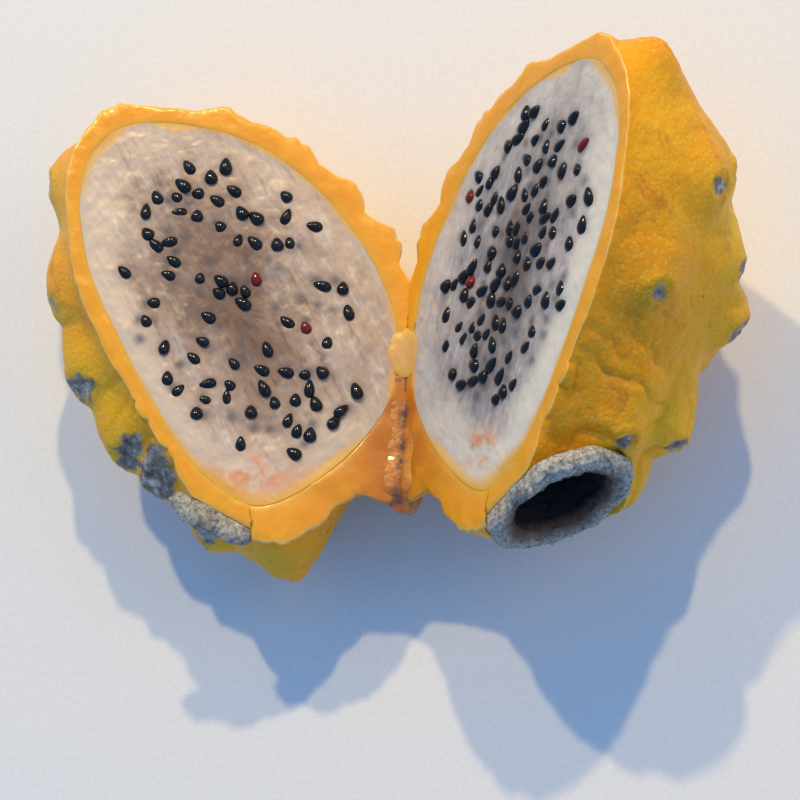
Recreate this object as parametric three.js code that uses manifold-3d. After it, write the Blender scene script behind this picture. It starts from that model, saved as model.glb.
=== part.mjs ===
// Yellow dragon fruit, cut lengthwise beside its axis and opened like a book. Its two halves lie on
// their rounded backs and are still joined by a strip of rind and a small bridge of uncut flesh.
// Millimetres, +Z up. The hinge runs along Y, the stem ends face +Y and the flower ends face -Y.
//
// The fruit is first made closed, in a frame of its own: u runs away from the hinge across the cut
// face, v runs along the hinge towards the stem, and w runs through the cut plane at w = 0. What has
// w > 0 belongs to the right half. Then the closed fruit is cut at w = 0 and each half is folded out.

import * as THREE from 'three';
import { mergeVertices } from 'three/addons/utils/BufferGeometryUtils.js';
import Module from 'manifold-3d';

const wasm = await Module();
wasm.setup();

// Driving dimensions of the opened fruit
const FOLD_ANGLE = THREE.MathUtils.degToRad(30);
const REST_ROLL = THREE.MathUtils.degToRad(-12.46);
const REST_PITCH = THREE.MathUtils.degToRad(-2.92);
const HINGE = new THREE.Vector3(3.58, -2.42, 23.24);
const SURFACE_GAP = 0.3;

// Driving dimensions of the closed fruit
const CENTRE = new THREE.Vector3(39, 5, 10);
const AXIS_ANGLE = THREE.MathUtils.degToRad(28);
const FULL_POWER = 2.35;
const SLIM_POWER = 1.8;
const RIND = {
  rightDepth: 37,
  leftDepth: 43,
  outline: [
    [-1, 0], [2, 15], [12, 31], [27, 44], [45, 52], [64, 53], [75.5, 46.5], [79, 34],
    [76.7, 15], [68.5, -3.5], [58, -20], [48, -33], [38, -43], [25, -45], [13, -36], [3, -20],
  ],
};
const FLESH = {
  rightDepth: 33.5,
  leftDepth: 39.5,
  outline: [
    [2, 2], [8, 18], [20, 34], [36, 45.5], [54, 50], [69, 47.5], [76, 35.5],
    [74, 16.5], [65.5, -2], [55, -19.5], [44, -33], [31, -39], [15, -29], [4, -14],
  ],
};

// Tubercles, each a leaning bump: compass angle round the cut face from +u, latitude up from the
// widest section and down to the left back, both in degrees, then height and breadth
const TUBERCLES = [
  [50, -2, 4.5, 0.75], [44, 40, 3.5, 0.8], [27, 22, 4, 0.8], [-8, 6, 3.5, 0.8], [-4, 60, 7, 0.8],
  [18, 50, 4, 1], [-72, 42, 6, 0.8], [-62, 14, 4, 0.9], [65, 55, 5, 1], [110, 50, 5, 1],
  [150, 55, 5, 1], [-120, 45, 5, 1], [-40, 75, 4, 1], [200, 50, 4, 1], [-95, 35, 4, 1],
  [163, 14, 7, 0.9], [140, 16, 8, 0.85], [118, 16, 8, 0.85], [96, 10, 7, 0.85], [75, 8, 4, 0.8],
  [57, -15, 3.5, 0.6], [86, -15, 3.5, 0.6], [106, -15, 4, 0.6], [128, -15, 4, 0.6],
  [150, -15, 4.5, 0.6], [38, -27, 7.5, 0.9], [8, -28, 5, 0.9], [-20, -28, 5, 0.9],
  [-50, -26, 6, 0.8], [-64, -24, 5, 0.6], [-84, -22, 5, 0.6], [-106, -24, 8, 0.8],
  [172, -24, 5, 0.9], [148, -24, 5, 0.9], [124, -24, 5, 0.9], [98, -22, 5, 0.9], [20, -58, 4, 1],
  [80, -56, 4, 1], [140, -58, 4, 1], [-100, -60, 5.5, 1], [-40, -58, 4.5, 1],
];
const TUBERCLE_FRONT = 5.5;
const TUBERCLE_TAIL = 10.5;
const TUBERCLE_WIDTH = 7;
const CUT_VALLEY = { share: 0.8, width: 6, towards: THREE.MathUtils.degToRad(-25) };
const LEFT_SWELL = { height: 9, at: -13, width: 9, towards: THREE.MathUtils.degToRad(-35) };

// Flower scar: a corky collar round a hollow, its axis looking out of the fruit's flower end
const SCAR_CENTRE = new THREE.Vector3(41.8, -41, 13);
const SCAR_AXIS = new THREE.Vector3(0.43, -0.88, 0.19).normalize();
const SCAR_RADIUS = 17;
const SCAR_HOLLOW = 11.2;
const SCAR_DEPTH = 10;
const SCAR_CREST = 1.8;
const SCAR_WOBBLE = 0.035;
const COLLAR_THICKNESS = 3;
const CUP_WALL = 1.4;
const CUP_FOOT = 8.5;
const SCAR_BULGE = { height: 3.5, width: 14 };
const RIND_BEHIND_SCAR = 2.3;

// Hinge: flaps of rind in the corner of each cut face, and the bridge of flesh
const FLAP = [
  [-0.6, 6], [-0.6, -37], [7, -34.5], [14, -37.5], [20, -43], [23, -34], [10, -24], [4, -8], [4, 6],
];
const FLAP_THICKNESS = 3.5;
const HINGE_STRIP = { from: -37, to: 6, drop: 2.4, halfWidth: 4.6, halfHeight: 2.4 };
const BRIDGE = { v: -1.5, rise: 0.6, across: 5.5, along: 7.5, thick: 2.2 };

// Seeds: pips that stand a little out of each cut face, sown by a seeded rule
const SEED_LENGTH = 3.1;
const SEED_WIDTH = 2.1;
const SEED_RISE = 0.7;
const SEED_ROOT = 0.9;
const SEED_SPACING = 2.8;
const SEED_SCATTER = 1.0;
const SOWING_TRIES = 6000;
const SEEDS_LEFT = { count: 74, draw: 11, centre: [38, 6.5], along: 36, across: 25, gather: 0.5 };
const SEEDS_RIGHT = { count: 104, draw: 23, centre: [41, 12], along: 34, across: 24, gather: 0.75 };

// Facets
const RIND_FACETS = [60, 30];
const FLESH_FACETS = [40, 18];
const SCAR_FACETS = 26;
const BIG = 300;

const ALONG_AXIS = new THREE.Vector2(Math.sin(AXIS_ANGLE), Math.cos(AXIS_ANGLE));
const ACROSS_AXIS = new THREE.Vector2(Math.cos(AXIS_ANGLE), -Math.sin(AXIS_ANGLE));

// A closed solid from points and triangles, with its faces turned outwards
function solidFrom(points, triangles) {
  let volume = 0;
  for (const [a, b, c] of triangles) {
    volume += points[a].dot(points[b].clone().cross(points[c]));
  }
  const faces = volume < 0 ? triangles.map(([a, b, c]) => [a, c, b]) : triangles;
  return new wasm.Manifold(new wasm.Mesh({
    numProp: 3,
    vertProperties: new Float32Array(points.flatMap((p) => [p.x, p.y, p.z])),
    triVerts: new Uint32Array(faces.flat()),
  }));
}

function solidOf(geometry) {
  const bare = geometry.clone();
  bare.deleteAttribute('normal');
  bare.deleteAttribute('uv');
  const merged = mergeVertices(bare, 1e-4);
  const position = merged.attributes.position;
  const points = [];
  for (let i = 0; i < position.count; i += 1) {
    points.push(new THREE.Vector3().fromBufferAttribute(position, i));
  }
  const index = merged.index.array;
  const triangles = [];
  for (let i = 0; i < index.length; i += 3) {
    triangles.push([index[i], index[i + 1], index[i + 2]]);
  }
  return solidFrom(points, triangles);
}

// The same solid with every point sent through a function
function mapped(solid, place) {
  const mesh = solid.getMesh();
  const points = [];
  for (let i = 0; i < mesh.vertProperties.length; i += mesh.numProp) {
    points.push(place(new THREE.Vector3(...mesh.vertProperties.slice(i, i + 3))));
  }
  const triangles = [];
  for (let i = 0; i < mesh.triVerts.length; i += 3) {
    triangles.push(Array.from(mesh.triVerts.slice(i, i + 3)));
  }
  return solidFrom(points, triangles);
}

function geometryOf(solid) {
  const mesh = solid.getMesh();
  const geometry = new THREE.BufferGeometry();
  geometry.setAttribute('position', new THREE.BufferAttribute(mesh.vertProperties, 3));
  geometry.setIndex(new THREE.BufferAttribute(mesh.triVerts, 1));
  geometry.computeVertexNormals();
  return geometry;
}

function boxBetween(low, high) {
  const size = new THREE.Vector3().subVectors(high, low);
  const geometry = new THREE.BoxGeometry(size.x, size.y, size.z);
  geometry.translate(low.x + size.x / 2, low.y + size.y / 2, low.z + size.z / 2);
  return solidOf(geometry);
}

function layer(fromW, toW) {
  return boxBetween(new THREE.Vector3(-BIG, -BIG, fromW), new THREE.Vector3(BIG, BIG, toW));
}

// Where a point of each half of the closed fruit lies once the fruit is opened and at rest
function atRest(point) {
  return point.applyAxisAngle(new THREE.Vector3(1, 0, 0), REST_PITCH)
    .applyAxisAngle(new THREE.Vector3(0, 1, 0), REST_ROLL)
    .add(HINGE);
}

function foldRight(p) {
  const across = Math.cos(FOLD_ANGLE) * p.x + Math.sin(FOLD_ANGLE) * p.z;
  const up = Math.sin(FOLD_ANGLE) * p.x - Math.cos(FOLD_ANGLE) * p.z;
  return atRest(new THREE.Vector3(across, p.y, up));
}

function foldLeft(p) {
  const across = -Math.cos(FOLD_ANGLE) * p.x + Math.sin(FOLD_ANGLE) * p.z;
  const up = Math.sin(FOLD_ANGLE) * p.x + Math.cos(FOLD_ANGLE) * p.z;
  return atRest(new THREE.Vector3(across, p.y, up));
}

// A point on a smooth closed curve through the outline's points, for s from 0 to 1
function onOutline(outline, s) {
  const count = outline.length;
  const place = s * count;
  const index = Math.floor(place);
  const t = place - index;
  const [a, b, c, d] = [-1, 0, 1, 2].map((step) => outline[(index + step + count) % count]);
  const blend = (k) => 0.5 * (2 * b[k] + (c[k] - a[k]) * t
    + (2 * a[k] - 5 * b[k] + 4 * c[k] - d[k]) * t ** 2
    + (3 * b[k] - a[k] - 3 * c[k] + d[k]) * t ** 3);
  return new THREE.Vector2(blend(0), blend(1));
}

// How much of its breadth a section keeps at a share of the depth, with a rounder or fuller curve
function breadth(share, power) {
  return Math.max(1 - Math.abs(share) ** power, 0) ** (1 / power);
}

// A point of a closed body: its outline at the cut plane, scaled with depth about the centre
function bodyPoint(body, s, latitude) {
  const share = Math.sin(latitude);
  const depth = latitude > 0 ? body.rightDepth : body.leftDepth;
  const atCut = breadth(CENTRE.z / body.leftDepth, FULL_POWER);
  const along = breadth(share, latitude > 0 ? SLIM_POWER : FULL_POWER) / atCut;
  const across = breadth(share, FULL_POWER) / atCut;
  const offset = onOutline(body.outline, s).sub(new THREE.Vector2(CENTRE.x, CENTRE.y));
  const lengthwise = offset.dot(ALONG_AXIS) * along;
  const sidewise = offset.dot(ACROSS_AXIS) * across;
  return new THREE.Vector3(
    CENTRE.x + lengthwise * ALONG_AXIS.x + sidewise * ACROSS_AXIS.x,
    CENTRE.y + lengthwise * ALONG_AXIS.y + sidewise * ACROSS_AXIS.y,
    CENTRE.z + depth * share,
  );
}

function outward(body, s, point) {
  const reach = onOutline(body.outline, s).distanceTo(new THREE.Vector2(CENTRE.x, CENTRE.y));
  const depth = point.z > CENTRE.z ? body.rightDepth : body.leftDepth;
  const from = point.clone().sub(CENTRE);
  return from.divide(new THREE.Vector3(reach ** 2, reach ** 2, depth ** 2)).normalize();
}

function closedBody(body, facets, rise) {
  const [around, layers] = facets;
  const points = [];
  const raised = (s, latitude) => {
    const point = bodyPoint(body, s, latitude);
    return point.addScaledVector(outward(body, s, point), rise(point));
  };
  for (let j = 1; j < layers; j += 1) {
    for (let i = 0; i < around; i += 1) {
      points.push(raised(i / around, Math.PI * (j / layers - 0.5)));
    }
  }
  points.push(raised(0, -Math.PI / 2), raised(0, Math.PI / 2));
  const [bottom, top] = [points.length - 2, points.length - 1];
  const last = (layers - 2) * around;
  const triangles = [];
  for (let i = 0; i < around; i += 1) {
    const next = (i + 1) % around;
    triangles.push([bottom, i, next], [top, last + next, last + i]);
    for (let row = 0; row < last; row += around) {
      triangles.push([row + i, row + around + i, row + next]);
      triangles.push([row + next, row + around + i, row + around + next]);
    }
  }
  return solidFrom(points, triangles);
}

// The outline's share s whose direction from the centre is nearest to a compass angle
function shareAt(outline, angle) {
  const steps = 360;
  let best = 0;
  let least = Infinity;
  for (let i = 0; i < steps; i += 1) {
    const p = onOutline(outline, i / steps);
    const turn = Math.atan2(p.y - CENTRE.y, p.x - CENTRE.x) - angle;
    const off = Math.abs(Math.atan2(Math.sin(turn), Math.cos(turn)));
    if (off < least) {
      least = off;
      best = i / steps;
    }
  }
  return best;
}

const TIPS = TUBERCLES.map(([compass, latitude, height, size]) => {
  const share = shareAt(RIND.outline, THREE.MathUtils.degToRad(compass));
  const at = bodyPoint(RIND, share, THREE.MathUtils.degToRad(latitude));
  return { at, height, size, lean: SCAR_CENTRE.clone().sub(at).normalize() };
});

// Height of the rind's relief: tubercles that lean towards the flower end, a swell along the left
// half's outer side, the valley that the knife followed, and the rise round the flower scar
function relief(point) {
  let height = 0;
  for (const tip of TIPS) {
    const from = point.clone().sub(tip.at);
    const ahead = from.dot(tip.lean);
    const aside = Math.sqrt(Math.max(from.lengthSq() - ahead ** 2, 0));
    const reach = ahead > 0 ? TUBERCLE_FRONT : TUBERCLE_TAIL;
    const fall = ((ahead / reach) ** 2 + (aside / TUBERCLE_WIDTH) ** 2) / tip.size ** 2;
    height = Math.max(height, tip.height * Math.exp(-fall / 2));
  }
  const angle = Math.atan2(point.y - CENTRE.y, point.x - CENTRE.x);
  const swell = Math.exp(-(((point.z - LEFT_SWELL.at) / LEFT_SWELL.width) ** 2));
  height += LEFT_SWELL.height * swell * Math.cos((angle - LEFT_SWELL.towards) / 2) ** 2;
  const valley = Math.exp(-((point.z / CUT_VALLEY.width) ** 2));
  height *= 1 - CUT_VALLEY.share * valley * Math.cos((angle - CUT_VALLEY.towards) / 2) ** 2;
  const fromScar = point.distanceTo(SCAR_CENTRE) / SCAR_BULGE.width;
  return height + SCAR_BULGE.height * Math.exp(-(fromScar ** 2) / 2);
}

// A turned body on the flower scar's axis, its profile in radius and height along that axis
function scarTurning(profile, wobble) {
  const geometry = new THREE.LatheGeometry(profile.map(([r, h]) => new THREE.Vector2(r, h)), SCAR_FACETS);
  const position = geometry.attributes.position;
  for (let i = 0; i < position.count; i += 1) {
    const angle = Math.atan2(position.getZ(i), position.getX(i));
    const grow = 1 + wobble * (Math.sin(5 * angle) + Math.sin(9 * angle + 1)) / 2;
    position.setX(i, position.getX(i) * grow);
    position.setZ(i, position.getZ(i) * grow);
  }
  const side = new THREE.Vector3(0, 0, 1).cross(SCAR_AXIS).normalize();
  const basis = new THREE.Matrix4().makeBasis(side, SCAR_AXIS, side.clone().cross(SCAR_AXIS));
  geometry.applyMatrix4(basis.setPosition(SCAR_CENTRE));
  return solidOf(geometry);
}

function scarCollar() {
  return scarTurning([
    [0, -SCAR_DEPTH], [CUP_FOOT, -SCAR_DEPTH], [SCAR_HOLLOW + CUP_WALL, -COLLAR_THICKNESS],
    [SCAR_RADIUS - 1, -COLLAR_THICKNESS], [SCAR_RADIUS, -0.5],
    [SCAR_RADIUS - 0.8, SCAR_CREST * 0.7], [SCAR_RADIUS - 2.6, SCAR_CREST],
    [SCAR_HOLLOW + 0.7, SCAR_CREST * 0.4], [SCAR_HOLLOW, -CUP_WALL],
    [CUP_FOOT - CUP_WALL, CUP_WALL + 0.4 - SCAR_DEPTH], [0, CUP_WALL - SCAR_DEPTH],
  ], SCAR_WOBBLE);
}

// The room that the scar takes in what it grows on, wider by a clearance
function scarSocket(grow) {
  const radius = SCAR_RADIUS * (1 + SCAR_WOBBLE) + grow;
  return scarTurning([
    [0, -SCAR_DEPTH - grow], [CUP_FOOT + grow, -SCAR_DEPTH - grow],
    [SCAR_HOLLOW + CUP_WALL + grow, -COLLAR_THICKNESS - grow], [radius, -COLLAR_THICKNESS - grow],
    [radius, SCAR_RADIUS / 2], [0, SCAR_RADIUS / 2],
  ], 0);
}

function hingeFlap(toW) {
  const shape = new THREE.Shape(FLAP.map(([u, v]) => new THREE.Vector2(u, v)));
  const geometry = new THREE.ExtrudeGeometry(shape, { depth: FLAP_THICKNESS, bevelEnabled: false });
  geometry.translate(0, 0, toW - FLAP_THICKNESS);
  return solidOf(geometry);
}

// The strip of rind under the hinge line, before the opened fruit is turned to its rest
function hingeStrip() {
  const { from, to, drop, halfWidth, halfHeight } = HINGE_STRIP;
  const geometry = new THREE.CylinderGeometry(1, 1, to - from, 10);
  geometry.scale(halfWidth, 1, halfHeight);
  geometry.translate(0, (from + to) / 2, -drop);
  return mapped(solidOf(geometry), atRest);
}

function fleshBridge(grow) {
  const geometry = new THREE.SphereGeometry(1, 14, 8);
  geometry.scale(BRIDGE.across + grow, BRIDGE.along + grow, BRIDGE.thick + grow);
  geometry.translate(0, BRIDGE.v, BRIDGE.rise);
  return mapped(solidOf(geometry), atRest);
}

// Both lobes of flesh and the bridge; a grown one also reaches out through the cut faces
function fleshBody(grow, socketGrow, past) {
  const whole = closedBody(FLESH, FLESH_FACETS, () => grow).subtract(scarSocket(socketGrow));
  const right = mapped(whole.intersect(layer(-past, BIG)), foldRight);
  const left = mapped(whole.intersect(layer(-BIG, past)), foldLeft);
  return right.add(left).add(fleshBridge(grow));
}

// Repeatable numbers between 0 and 1
function drawFrom(start) {
  let state = start;
  return () => {
    state = (state * 16807) % 2147483647;
    return state / 2147483647;
  };
}

// Places and turns of one half's seeds over an oval, gathered towards its middle and never closer
// than the spacing
function sow(field) {
  const draw = drawFrom(field.draw);
  const seeds = [];
  for (let attempt = 0; attempt < SOWING_TRIES && seeds.length < field.count; attempt += 1) {
    const turn = 2 * Math.PI * draw();
    const reach = draw() ** field.gather;
    const twist = SEED_SCATTER * (2 * draw() - 1);
    const lengthwise = field.along * reach * Math.cos(turn);
    const sidewise = field.across * reach * Math.sin(turn);
    const u = field.centre[0] + lengthwise * ALONG_AXIS.x + sidewise * ACROSS_AXIS.x;
    const v = field.centre[1] + lengthwise * ALONG_AXIS.y + sidewise * ACROSS_AXIS.y;
    if (seeds.every((seed) => Math.hypot(seed.u - u, seed.v - v) > SEED_SPACING)) {
      seeds.push({ u, v, turn: AXIS_ANGLE + twist });
    }
  }
  return seeds;
}

function seedSolid(seed, outwardSign) {
  const geometry = new THREE.ConeGeometry(1, SEED_RISE + SEED_ROOT, 6);
  geometry.rotateX(Math.PI / 2);
  geometry.translate(0, 0, (SEED_RISE - SEED_ROOT) / 2);
  geometry.scale(SEED_WIDTH * 0.8, SEED_LENGTH * 0.8, outwardSign);
  geometry.rotateZ(-seed.turn);
  geometry.translate(seed.u, seed.v, 0);
  return solidOf(geometry);
}

function material(colour, roughness) {
  return new THREE.MeshStandardMaterial({ color: colour, roughness, metalness: 0 });
}

function named(name, solid, finish) {
  const mesh = new THREE.Mesh(geometryOf(solid), finish);
  mesh.name = name;
  return mesh;
}

function makeRind(aboveTable) {
  const fruit = closedBody(RIND, RIND_FACETS, relief).subtract(scarSocket(SURFACE_GAP));
  const right = mapped(fruit.intersect(layer(0, BIG)).add(hingeFlap(FLAP_THICKNESS)), foldRight);
  const left = mapped(fruit.intersect(layer(-BIG, 0)).add(hingeFlap(0)), foldLeft);
  const cavity = fleshBody(SURFACE_GAP, RIND_BEHIND_SCAR, 1);
  return right.add(left).add(hingeStrip()).subtract(cavity).intersect(aboveTable);
}

function makeFlesh() {
  let flesh = fleshBody(0, RIND_BEHIND_SCAR + SURFACE_GAP, 0);
  for (const seed of sow(SEEDS_RIGHT)) {
    flesh = flesh.add(mapped(seedSolid(seed, -1), foldRight));
  }
  for (const seed of sow(SEEDS_LEFT)) {
    flesh = flesh.add(mapped(seedSolid(seed, 1), foldLeft));
  }
  return flesh;
}

function makeFruit() {
  const aboveTable = boxBetween(new THREE.Vector3(-BIG, -BIG, 0), new THREE.Vector3(BIG, BIG, BIG));
  const fruit = new THREE.Group();
  fruit.add(named('rind', makeRind(aboveTable), material(0xe0a41c, 0.5)));
  fruit.add(named('flesh', makeFlesh(), material(0xd9d2c6, 0.35)));
  const rightScar = mapped(scarCollar().intersect(layer(0, BIG)), foldRight);
  const leftScar = mapped(scarCollar().intersect(layer(-BIG, 0)), foldLeft);
  fruit.add(named('flower_scar_right', rightScar, material(0x8b9196, 0.9)));
  fruit.add(named('flower_scar_left', leftScar, material(0x8b9196, 0.9)));
  return fruit;
}

export default makeFruit();
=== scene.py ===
"""Yellow dragon fruit, cut lengthwise and opened like a book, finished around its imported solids.

Shapes are first made in the closed fruit's frame, in millimetres: u runs away from the hinge across
the cut face, v along the hinge towards the stem, and w through the cut plane at w = 0. What has w > 0
belongs to the right half. Each half is then folded out and turned to its rest, in metres.
"""

import math

import bmesh
import bpy
import numpy as np
from mathutils import Matrix, Vector


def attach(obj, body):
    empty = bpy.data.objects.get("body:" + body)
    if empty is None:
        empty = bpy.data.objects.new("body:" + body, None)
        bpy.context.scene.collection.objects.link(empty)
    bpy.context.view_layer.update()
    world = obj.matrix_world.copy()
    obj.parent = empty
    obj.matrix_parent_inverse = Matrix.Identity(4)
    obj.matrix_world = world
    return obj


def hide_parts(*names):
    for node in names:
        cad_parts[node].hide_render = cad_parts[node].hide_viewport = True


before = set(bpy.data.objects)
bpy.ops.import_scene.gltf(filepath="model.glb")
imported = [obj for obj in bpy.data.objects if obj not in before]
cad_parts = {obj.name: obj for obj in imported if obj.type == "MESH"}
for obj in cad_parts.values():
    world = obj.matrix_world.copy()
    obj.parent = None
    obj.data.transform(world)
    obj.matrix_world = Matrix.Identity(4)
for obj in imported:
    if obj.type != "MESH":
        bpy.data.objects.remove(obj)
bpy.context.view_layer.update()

# Driving dimensions, in millimetres and radians, the same as the solids have
FOLD_ANGLE = math.radians(30)
REST_ROLL = math.radians(-12.46)
REST_PITCH = math.radians(-2.92)
HINGE = np.array([3.58, -2.42, 23.24])
CENTRE = np.array([39.0, 5.0, 10.0])
AXIS_ANGLE = math.radians(28)
ALONG_AXIS = np.array([math.sin(AXIS_ANGLE), math.cos(AXIS_ANGLE)])
ACROSS_AXIS = np.array([math.cos(AXIS_ANGLE), -math.sin(AXIS_ANGLE)])
RIND = {
    "right": 37.0,
    "left": 43.0,
    "outline": [
        (-1, 0), (2, 15), (12, 31), (27, 44), (45, 52), (64, 53), (75.5, 46.5), (79, 34),
        (76.7, 15), (68.5, -3.5), (58, -20), (48, -33), (38, -43), (25, -45), (13, -36), (3, -20),
    ],
}
FLESH = {
    "right": 33.5,
    "left": 39.5,
    "outline": [
        (2, 2), (8, 18), (20, 34), (36, 45.5), (54, 50), (69, 47.5), (76, 35.5),
        (74, 16.5), (65.5, -2), (55, -19.5), (44, -33), (31, -39), (15, -29), (4, -14),
    ],
}
FULL_POWER = 2.35
SLIM_POWER = 1.8

# Tubercles: compass angle, latitude, height and breadth, and the one without a corky tip
TUBERCLES = [
    (50, -2, 4.5, 0.75), (44, 40, 3.5, 0.8), (27, 22, 4, 0.8), (-8, 6, 3.5, 0.8), (-4, 60, 7, 0.8),
    (18, 50, 4, 1), (-72, 42, 6, 0.8), (-62, 14, 4, 0.9), (65, 55, 5, 1), (110, 50, 5, 1),
    (150, 55, 5, 1), (-120, 45, 5, 1), (-40, 75, 4, 1), (200, 50, 4, 1), (-95, 35, 4, 1),
    (163, 14, 7, 0.9), (140, 16, 8, 0.85), (118, 16, 8, 0.85), (96, 10, 7, 0.85), (75, 8, 4, 0.8),
    (57, -15, 3.5, 0.6), (86, -15, 3.5, 0.6), (106, -15, 4, 0.6), (128, -15, 4, 0.6),
    (150, -15, 4.5, 0.6), (38, -27, 7.5, 0.9), (8, -28, 5, 0.9), (-20, -28, 5, 0.9),
    (-50, -26, 6, 0.8), (-64, -24, 5, 0.6), (-84, -22, 5, 0.6), (-106, -24, 8, 0.8),
    (172, -24, 5, 0.9), (148, -24, 5, 0.9), (124, -24, 5, 0.9), (98, -22, 5, 0.9), (20, -58, 4, 1),
    (80, -56, 4, 1), (140, -58, 4, 1), (-100, -60, 5.5, 1), (-40, -58, 4.5, 1),
]
CLEAN_TIP = TUBERCLES.index((-106, -24, 8, 0.8))

# How far a tubercle reaches towards the flower end, away from it and sideways
TUBERCLE_FRONT = 5.5
TUBERCLE_TAIL = 10.5
TUBERCLE_WIDTH = 7.0
CUT_VALLEY = {"share": 0.8, "width": 6.0, "towards": math.radians(-25)}
LEFT_SWELL = {"height": 9.0, "at": -13.0, "width": 9.0, "towards": math.radians(-35)}

SCAR_CENTRE = np.array([41.8, -41.0, 13.0])
SCAR_AXIS = np.array([0.43, -0.88, 0.19]) / np.linalg.norm([0.43, -0.88, 0.19])
SCAR_RADIUS = 17.0
SCAR_HOLLOW = 11.2
SCAR_DEPTH = 10.0
SCAR_CREST = 1.8
COLLAR_THICKNESS = 3.0
CUP_WALL = 1.4
CUP_FOOT = 8.5
SCAR_BULGE = {"height": 3.5, "width": 14.0}

# Room that each surface leaves around the flower scar, and how far the rind reaches under the flesh
SKIN_ROOM = 0.3
RIND_ROOM = {"grow": 0.8, "reach": 1.0}
FLESH_ROOM = {"grow": 1.0, "reach": 1.0}
RIND_GAP = 0.3
TUCK = 0.5
FACE_EDGE_HEIGHT = 0.12
FACE_MIDDLE = CENTRE[:2] + 1.0

SEED_LENGTH = 3.1
SEED_WIDTH = 2.1
SEED_SPACING = 2.8
SEED_SCATTER = 1.0
SEED_FLATNESS = 0.8
SOWING_TRIES = 6000
SEEDS_LEFT = {"count": 74, "draw": 11, "centre": (38, 6.5), "along": 36, "across": 25, "gather": 0.5}
SEEDS_RIGHT = {"count": 104, "draw": 23, "centre": (41, 12), "along": 34, "across": 24, "gather": 0.75}

# Seeds deeper in the flesh, which show as soft shade
SUNK_LEFT = {**SEEDS_LEFT, "count": 46, "draw": 301}
SUNK_RIGHT = {**SEEDS_RIGHT, "count": 60, "draw": 302}

BRIDGE = {"v": -2.0, "rise": 1.3, "across": 5.0, "along": 5.8, "thick": 1.65}
HINGE_STRIP = {"from": -38.5, "to": 6.5, "across": 4.8}

RIGHT = 1
LEFT = -1
MM = 0.001

# The flesh's dark core, and its orange blotches with their middle, reach and strength
CORE = {"at": (41.0, 9.0), "along": 27, "across": {RIGHT: 10, LEFT: 13}}
BLOTCH = {RIGHT: ((30.5, -29.5), (5.0, 3.5), 1.0), LEFT: ((33.0, -32.0), (10.0, 4.0), 0.7)}

# How finely the pieces are meshed
RIND_COLUMNS = 520
SKIN_ROWS = {RIGHT: 160, LEFT: 110}
CUT_ROWS = 14
INNER_ROWS = 16
FLESH_COLUMNS = 420
FACE_ROWS = 105
UNDER_ROWS = 14
SEED_RINGS = 12
SEED_AROUND = 14
BRIDGE_RINGS = 40
BRIDGE_AROUND = 72
HINGE_STATIONS = 150
HINGE_AROUND = 96
SCAR_STEPS = 120
SCAR_AROUND = 220


# Noise and small numeric helpers


def lattice_value(cells, seed):
    """A repeatable number between 0 and 1 for each whole-numbered cell corner."""
    i = cells.astype(np.int64)
    mixed = i[..., 0] * 374761393 + i[..., 1] * 668265263 + i[..., 2] * 2147483647 + seed * 974634777
    mixed = (mixed ^ (mixed >> 13)) * 1274126177
    mixed = mixed ^ (mixed >> 16)
    return (mixed & 0xFFFFFF) / float(0xFFFFFF)


def noise(points, scale, seed=0):
    """Smooth noise between -1 and 1, with features about as wide as scale."""
    p = np.asarray(points, float) / scale
    low = np.floor(p)
    t = p - low
    t = t * t * (3 - 2 * t)
    total = np.zeros(p.shape[:-1])
    for corner in np.ndindex(2, 2, 2):
        step = np.array(corner)
        weight = np.prod(np.where(step == 1, t, 1 - t), axis=-1)
        total += weight * lattice_value(low + step, seed)
    return 2 * total - 1


def fractal(points, scale, seed=0, octaves=4, gain=0.5):
    """Noise summed over octaves, each half as wide as the one before."""
    total = np.zeros(np.shape(points)[:-1])
    size = 1.0
    for octave in range(octaves):
        total += size * noise(points, scale / 2**octave, seed + octave)
        size *= gain
    return total


def smooth(low, high, x):
    """A soft step from 0 at low to 1 at high."""
    t = np.clip((x - low) / (high - low), 0, 1)
    return t * t * (3 - 2 * t)


def turns(count):
    """Angles spread evenly over a full turn."""
    return np.arange(count) * 2 * math.pi / count


# The closed fruit's shape


def on_outline(outline, s):
    """Points on a smooth closed curve through the outline's points, for s from 0 to 1."""
    p = np.asarray(outline, float)
    count = len(p)
    place = np.asarray(s, float) % 1.0 * count
    i = place.astype(int)
    t = (place - i)[..., None]
    a, b, c, d = (p[(i + step) % count] for step in (-1, 0, 1, 2))
    return 0.5 * (
        2 * b + (c - a) * t + (2 * a - 5 * b + 4 * c - d) * t**2 + (3 * b - a - 3 * c + d) * t**3
    )


def breadth(share, power):
    """How wide a body is at a share of its depth."""
    return np.maximum(1 - np.abs(share) ** power, 0) ** (1 / power)


def body_point(body, s, latitude):
    """Points of a closed body: its outline at the cut plane, scaled with depth about the centre."""
    share = np.sin(latitude)
    depth = np.where(latitude > 0, body["right"], body["left"])
    at_cut = breadth(CENTRE[2] / body["left"], FULL_POWER)
    slim = np.where(latitude > 0, breadth(share, SLIM_POWER), breadth(share, FULL_POWER))
    offset = on_outline(body["outline"], s) - CENTRE[:2]
    lengthwise = offset @ ALONG_AXIS * slim / at_cut
    sidewise = offset @ ACROSS_AXIS * breadth(share, FULL_POWER) / at_cut
    uv = CENTRE[:2] + lengthwise[..., None] * ALONG_AXIS + sidewise[..., None] * ACROSS_AXIS
    w = CENTRE[2] + depth * share + 0 * lengthwise
    return np.concatenate([uv, w[..., None]], axis=-1)


def outward(body, s, points):
    """Directions out of a body at its points."""
    reach = np.linalg.norm(on_outline(body["outline"], s) - CENTRE[:2], axis=-1)
    depth = np.where(points[..., 2] > CENTRE[2], body["right"], body["left"])
    normal = (points - CENTRE) / np.stack([reach**2, reach**2, depth**2], axis=-1)
    return normal / np.linalg.norm(normal, axis=-1, keepdims=True)


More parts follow.
